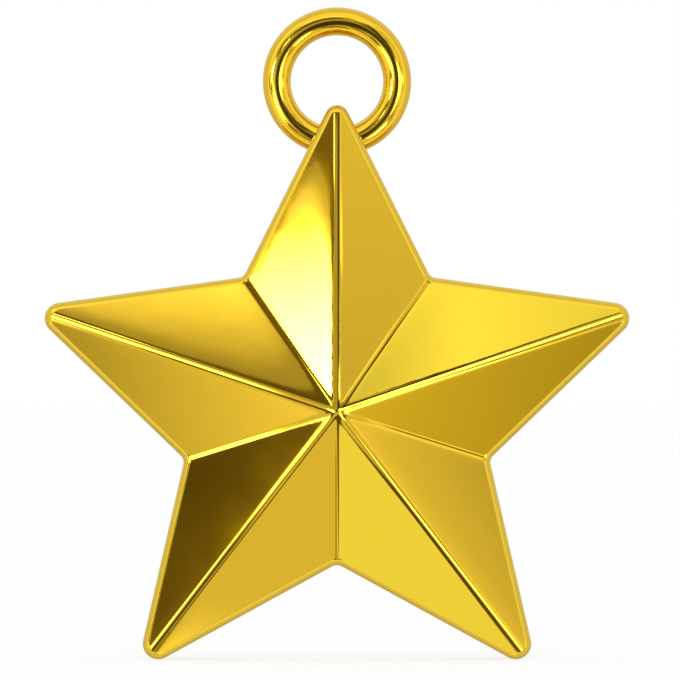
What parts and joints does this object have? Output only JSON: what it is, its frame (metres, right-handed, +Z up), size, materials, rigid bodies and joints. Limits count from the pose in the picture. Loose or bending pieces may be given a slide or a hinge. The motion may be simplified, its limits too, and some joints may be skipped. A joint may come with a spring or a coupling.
{
  "type": "balloon weight",
  "caption": "Faceted star balloon weight in mirror gold, with a round ribbon ring clamped in its top point and steel ballast sealed inside.",
  "frame": {"origin": "on the surface that the two lower points stand on, under the middle of the width and of the depth", "axes": "+Z up through the ring, +X to the right seen from the faceted front, +Y towards the flat back"},
  "size_m": [0.0968, 0.0226, 0.1082],
  "materials": {
    "gold_metallised": "moulded plastic with a mirror-bright gold metal coat",
    "ballast_steel": "punched mild steel, oiled",
    "spring_steel": "hardened spring steel, dark",
    "grey_foam": "soft closed-cell foam"
  },
  "bodies": {
    "root": {"front_shell": "gold_metallised", "back_cover": "gold_metallised", "hanging_ring": "gold_metallised", "ballast_disc_front": "ballast_steel", "ballast_disc_middle": "ballast_steel", "ballast_disc_rear": "ballast_steel", "push_nut": "spring_steel", "foam_pad": "grey_foam"}
  },
  "joints": []
}
